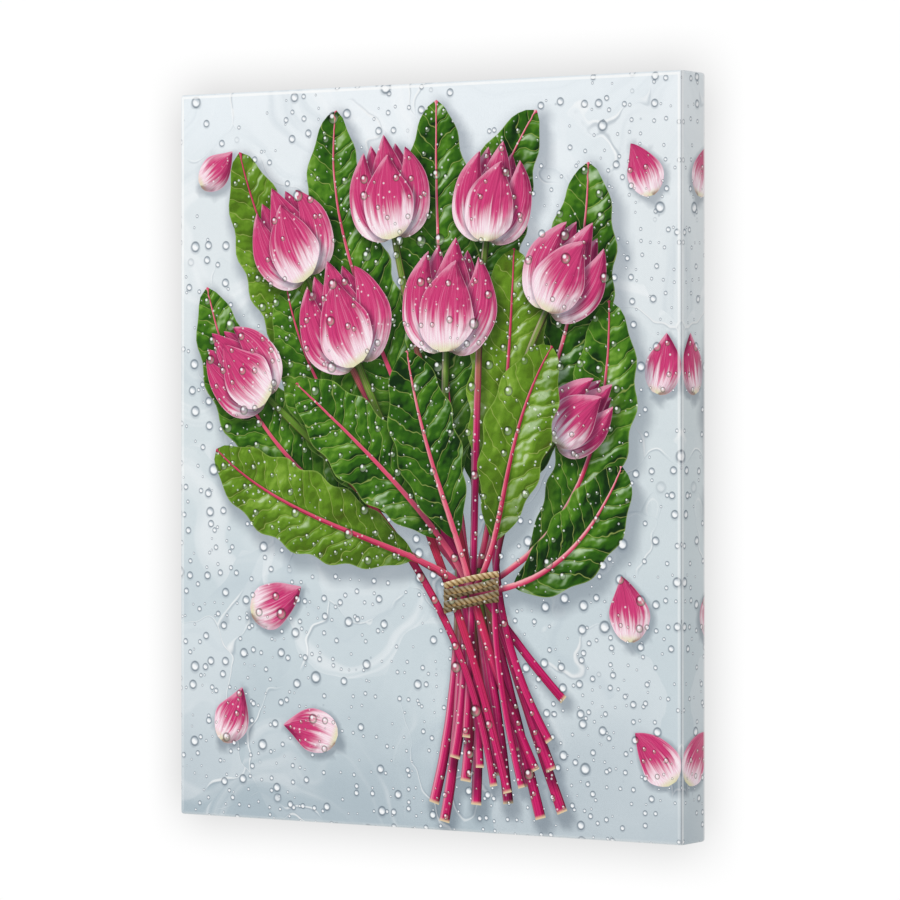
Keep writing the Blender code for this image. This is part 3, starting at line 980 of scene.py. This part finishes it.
def make_stem(look):
    """Ribbed stem, crimson at the cut end and green under the bloom."""
    along, across, _ = look.parts("band")
    _, share, seed = look.parts("tone")
    facing = across * look.parts("aim")[1]
    streak = noise((along * 9, across * 2.4, seed * 9), 1.0, 4)
    ribs = noise((along * 3, across * 5.0, seed * 5 + 3), 1.0, 2)
    tone = streak * 0.4 + ribs * 0.34 + facing * 0.34 + 0.16 * (1 - across * across)
    crimson = tone.shades((0.18, 86, 2, 40), (0.42, 172, 12, 82), (0.62, 218, 42, 116), (0.88, 250, 164, 190))
    green = tone.shades((0.2, 36, 70, 18), (0.5, 96, 138, 44), (0.85, 184, 206, 118))
    fade = (share + (streak - 0.5) * 0.3 + (seed - 0.5) * 0.12).step(0.58, 0.88)
    look.colour = look.mix(fade, crimson, green)
    warm = seed.step(0.45, 0.85) * share.step(0.05, 0.55) * 0.55
    look.paint(warm * (1 - fade), 198, 62, 62)
    lines = noise((along * 4, across * 7.5, seed * 31 + 7), 1.0, 3, 0.6)
    look.paint(lines.step(0.54, 0.7) * 0.4, 244, 132, 150)
    look.paint(lines.step(0.46, 0.3) * 0.5, 92, 2, 40)
    look.paint((facing + (ribs - 0.5) * 0.8).step(0.25, 0.62) * 0.34, 255, 206, 218)
    look.paint(abs(across).step(0.7, 1.0) * 0.46, 58, 6, 30)
    look.paint(along.step(CUT_END, 0.0), 226, 206, 166)
    return finish_print(look)


def make_petal(look):
    """Cupped petal, white at its foot, with magenta streaks that close up towards its tip."""
    along, across, width = look.parts("band")
    _, share, seed = look.parts("tone")

    def cup(a, b):
        side = b / width
        lines = noise((a * 30, b * 800, seed * 11), 1.0, 3, 0.6)
        dent = noise((a, b, seed * 7), 60, 2)
        return (1 - side * side) * 0.0042 + lines * 0.00016 + dent * 0.003

    slope = look.slope(cup, 0.0006)
    streaks = noise((along * 16, across * 5.5, seed * 17 + 3), 1.0, 4, 0.6)
    lines = noise((along * 26, across * width * 900, seed * 5), 1.0, 3, 0.6)
    white = lines.shades((0.3, 244, 206, 222), (0.7, 253, 244, 248))
    tone = lines * 0.6 + streaks * 0.3 + (1 - share) * 0.14
    magenta = tone.shades((0.25, 140, 0, 72), (0.5, 202, 2, 104), (0.8, 228, 36, 130))
    reach = (streaks + share * 0.95 - abs(across) * 0.16).step(0.56, 0.92)
    look.colour = look.mix(reach * 0.94, white, magenta)
    hairs = noise((along * 12, across * 13, seed * 23 + 1), 1.0, 3, 0.6)
    look.paint(hairs.step(0.55, 0.72) * 0.42, 252, 188, 216)
    look.paint(hairs.step(0.45, 0.3) * reach * 0.42, 122, 0, 66)
    look.paint(share.step(0.14, 0.0) * 0.7, 216, 222, 156)
    look.paint(slope.step(-0.05, -0.75) * 0.66, 104, 0, 56)
    look.paint(slope.step(0.24, 0.9) * 0.4, 255, 206, 226)
    look.paint(abs(across).step(0.93, 1.0) * 0.42, 252, 206, 226)
    return finish_print(look)


def make_twine(look):
    """Two plies of beige fibre."""
    along, across, _ = look.parts("band")
    _, _, seed = look.parts("tone")
    facing = across * look.parts("aim")[1]
    twist = abs(((along / TWIST_PITCH + across * 0.42 + seed) * math.pi).sine())
    fibre = noise((along * 700 + across * 3, across * 5, seed * 5), 1.0, 2)
    tone = twist * 0.42 + fibre * 0.34 + facing * 0.24
    look.colour = tone.shades((0.12, 96, 70, 38), (0.42, 176, 146, 100), (0.8, 236, 218, 180))
    return finish_print(look)


# The frame, its keys and its hardware

def make_pine(look, along_x):
    """Planed pine: growth rings round a pith behind the bar, darker latewood, pores and a few knots."""
    x, y, z = look.object_parts()
    z = z - CENTRE_Z
    along, side, half = (x, z, HALF_HEIGHT) if along_x else (z, x, HALF_WIDTH)
    across = abs(side) - half + BAR_WIDTH / 2
    here = (along, across, side.step(-0.01, 0.01) * 3 + y)
    bend = noise(here, 4.5, 2, 0.6) - 0.5
    ripple = noise(here, 40, 2) - 0.5
    knot, luck = cells((along * 7, across * 22, y * 8 + side))
    knot = knot.step(0.24, 0.06) * luck.step(0.8, 0.84)
    from_pith = ((across - 0.003) ** 2 + (y - PITH_Y) ** 2) ** 0.5
    rings = (from_pith + bend * 0.026 + ripple * 0.0016 + knot * 0.003) / RING_WIDTH
    band = rings.fraction()
    late = band.step(0.25, 0.9) * band.step(1.0, 0.94)
    pore = noise((along * 60, across * 1500, y * 1500), 1.0, 3)
    cloud = noise((along * 6, across * 30, y * 30), 1.0, 3)
    tone = late * noise(here, 26, 2) * 0.7 + pore * 0.24 + cloud * 0.28
    look.colour = tone.shades((0.14, 236, 208, 162), (0.46, 220, 184, 132), (0.82, 184, 136, 84))
    look.paint(knot * 0.8, 124, 76, 40)
    marks = noise((along * 260, across * 9, y * 9), 1.0, 1)
    look.bump(pore * 0.6 + late * 0.4 + marks * 0.5, 0.00014)
    return look.finish(0.62 - late * 0.1, specular=0.4)


def make_key_wood(look):
    """Sawn hardwood with short flecks across a slanted grain."""
    x, y, z = look.object_parts()
    across = x * 0.7 + z * 0.7
    along = x * 0.7 - z * 0.7
    fibre = noise((along * 80, across * 1100, y * 1100), 1.0, 3)
    fleck = noise((along * 420, across * 2400, y * 600), 1.0, 1).step(0.6, 0.68)
    tone = fibre * 0.7 + noise((x, y, z), 60, 2) * 0.3
    look.colour = tone.shades((0.25, 176, 130, 82), (0.75, 212, 172, 122))
    look.paint(fleck * 0.35, 134, 90, 52)
    look.bump(fibre + fleck * 0.4, 0.00016)
    return look.finish(0.72, specular=0.3)


def make_metal(look, light, dark, roughness, scratch_scale):
    """Plated steel: clouded plating with fine scratches and dull specks."""
    x, y, z = look.object_parts()
    cloud = noise((x, y, z), 260, 4)
    scratch = noise((x * 40, y * scratch_scale, z * scratch_scale), 1.0, 3)
    speck, _ = cells((x, y, z), 900)
    look.colour = (cloud * 0.6 + scratch * 0.4).shades((0.3, *dark), (0.7, *light))
    look.paint(speck.step(0.2, 0.06) * 0.35, *dark)
    look.bump(scratch + cloud * 0.5, 0.00005)
    return look.finish(roughness + cloud * 0.22, metallic=1.0)


def make_rubber(look):
    """Black rubber with dust on it."""
    here = look.object_parts()
    dust = noise(here, 240, 4).step(0.5, 0.72)
    look.colour = srgb(38, 38, 41)
    look.paint(dust * 0.32, 108, 106, 102)
    look.bump(noise(here, 1400, 3), 0.00008)
    return look.finish(0.62 + dust * 0.22, specular=0.35)


def make_loose_thread(look):
    """Twisted cotton, uneven in colour along its length."""
    here = look.object_parts()
    fibre = noise(here, 1800, 3)
    cloud = noise(here, 90, 2)
    look.colour = (fibre * 0.6 + cloud * 0.4).shades((0.3, 186, 168, 132), (0.7, 226, 214, 188))
    look.bump(fibre, 0.00006)
    return look.finish(0.85, specular=0.2)


def draw_threads():
    """For each loose thread: whether its edge is upright, its points (out, along, back) and their radii."""
    draw = np.random.default_rng(SEED)
    t = np.linspace(0, 1, THREAD_STEPS)
    for reach, half, upright in ((HALF_WIDTH, HALF_HEIGHT, True), (HALF_HEIGHT, HALF_WIDTH, False)):
        half -= FLAP
        for side in (-1, 1):
            for _ in range(int(2 * half / THREAD_PITCH)):
                at = draw.uniform(-half + 0.006, half - 0.006)
                length = draw.uniform(0.0012, 0.0034) + 0.004 * draw.random() ** 4
                lean, curl = draw.normal(0, 0.28, 2)
                if not upright and side > 0 and abs(at) < HANGER_CLEAR:
                    continue
                out = side * (reach - FLAP - length * t + THREAD_ROOT)
                over = at + length * (lean * t + curl * t * t)
                y = THREAD_Y + (BAR_BACK + THREAD_RADIUS - THREAD_Y) * np.minimum(t * 2.5, 1)
                yield upright, out, over, y, THREAD_RADIUS * (1 - 0.55 * t ** 3)


def fray_edges(material):
    """Loose threads from the cut edge of the canvas, lying on the back of the bars."""
    vertices = []
    faces = []
    for upright, *points in draw_threads():
        first = len(vertices)
        for out, over, y, radius in zip(*points):
            for angle in np.linspace(0, 2 * np.pi, THREAD_SIDES, endpoint=False):
                across = over + radius * math.cos(angle)
                back = y + radius * math.sin(angle)
                vertices.append((out, back, across + CENTRE_Z) if upright else (across, back, out + CENTRE_Z))
        last = len(vertices) - THREAD_SIDES
        for a in range(first, last):
            b = a + 1 if (a + 1 - first) % THREAD_SIDES else a + 1 - THREAD_SIDES
            faces.append((a, b, b + THREAD_SIDES, a + THREAD_SIDES))
        faces.append(tuple(range(first, first + THREAD_SIDES))[::-1])
        faces.append(tuple(range(last, last + THREAD_SIDES)))
    return add_object("frayed_threads", make_mesh("frayed_threads", vertices, faces, material))


def dress_frame():
    """Gives each bar, key, staple, nail, hanger and bumper its material."""
    pine = (make_pine(Look("pine_across"), True), make_pine(Look("pine_upright"), False))
    steel = make_metal(Look("staple_steel"), (206, 208, 212), (140, 144, 150), 0.28, 900)
    looks = {
        ("bar_top", "bar_bottom"): pine[0],
        ("bar_left", "bar_right"): pine[1],
        "key_": make_key_wood(Look("key_wood")),
        ("staple_", "hanger_nail"): steel,
        "hanger_plate": make_metal(Look("hanger_zinc"), (214, 208, 188), (160, 152, 128), 0.3, 700),
        "bumper_": make_rubber(Look("bumper_rubber")),
    }
    for name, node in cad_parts.items():
        for start, material in looks.items():
            if name.startswith(start):
                for slot in node.material_slots:
                    slot.material = material
                if not node.material_slots:
                    node.data.materials.append(material)


# The stage

def make_plane(name, near, far, material):
    """One plane of the stage, between two edges that are each given as (y, z)."""
    sides = (-STAGE_SIDE, near), (STAGE_SIDE, near), (STAGE_SIDE, far), (-STAGE_SIDE, far)
    corners = [(x, *edge) for x, edge in sides]
    plane = add_object(name, make_mesh(name, corners, [(0, 1, 2, 3)], material))
    return plane


def shade_between(value, low, high):
    """1 between low and high, with a soft border on both sides of each."""
    return (abs(value - (low + high) / 2) - (high - low) / 2).step(SHADE_SOFT, -SHADE_SOFT)


def make_stage():
    """A white wall with a soft shade round the canvas, seen from its front only, and a pale floor below."""
    look = Look("wall_paint")
    x, _, z = look.object_parts()
    grain = noise((x, 0.0, z), 380, 2)
    shade = shade_between(x, *SHADE_ACROSS) * shade_between(z, *SHADE_UP)
    glow = look.add("Emission", {"Strength": 1.004 + grain * 0.01 - shade * SHADE_DEPTH})
    clear = look.add("BsdfTransparent")
    back = look.add("NewGeometry").outputs["Backfacing"]
    both = look.add("MixShader", {0: back, 1: glow.outputs[0], 2: clear.outputs[0]})
    look.put(look.nodes["Material Output"].inputs["Surface"], both.outputs[0])
    wall = make_plane("wall", (WALL_Y, FLOOR_Z), (WALL_Y, WALL_TOP), look.material)
    for rays in ("diffuse", "glossy", "transmission", "shadow", "volume_scatter"):
        setattr(wall, "visible_" + rays, False)

    look = Look("floor_paint")
    look.colour = srgb(238, 238, 236)
    look.bump(noise(look.object_parts(), 120, 3), 0.0002)
    look.finish(0.7, specular=0.3)
    make_plane("floor", (FLOOR_NEAR, FLOOR_Z), (FLOOR_FAR, FLOOR_Z), look.material)


def make_lights():
    """An even white surround, a large soft lamp in front on the left and another behind."""
    world = bpy.data.worlds.new("studio")
    world.use_nodes = True
    tree = world.node_tree
    background = tree.nodes["Background"]
    background.inputs["Color"].default_value = (1, 1, 1, 1)
    to_camera = tree.nodes.new("ShaderNodeLightPath").outputs["Is Camera Ray"]
    strength = tree.nodes.new("ShaderNodeMapRange")
    strength.inputs["To Min"].default_value = SURROUND_LIGHT
    tree.links.new(to_camera, strength.inputs["Value"])
    tree.links.new(strength.outputs["Result"], background.inputs["Strength"])
    bpy.context.scene.world = world
    for name, place in LAMPS.items():
        lamp = bpy.data.lights.new(name, "AREA")
        lamp.size = LAMP_SIZE
        lamp.energy = LAMP_POWER
        holder = add_object(name, lamp)
        holder.location = place
        aim = Vector((0, 0, CENTRE_Z)) - holder.location
        holder.rotation_euler = aim.to_track_quat("-Z", "Y").to_euler()
        holder.visible_camera = False
    bpy.context.scene.view_settings.view_transform = "Standard"


def make_camera():
    data = bpy.data.cameras.new("camera")
    data.lens = CAMERA_LENS
    data.shift_y = CAMERA_SHIFT
    camera = add_object("camera", data)
    camera.location = CAMERA_PLACE
    camera.rotation_euler = (math.radians(90), 0, math.radians(CAMERA_TURN))
    bpy.context.scene.camera = camera


def main():
    make_camera()
    make_lights()
    make_stage()
    dress_frame()
    materials = {
        "ground": make_ground(Look("print_ground")),
        "leaf": make_leaf(Look("print_leaf")),
        "stem": make_stem(Look("print_stem")),
        "petal": make_petal(Look("print_petal")),
        "twine": make_twine(Look("print_twine")),
        "primed": make_primed(Look("primed_canvas")),
        "raw": make_raw(Look("raw_canvas")),
    }
    canvas = wrap_canvas(materials)
    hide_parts("canvas")
    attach(canvas, "root")
    threads = fray_edges(make_loose_thread(Look("loose_thread")))
    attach(threads, "root")


main()
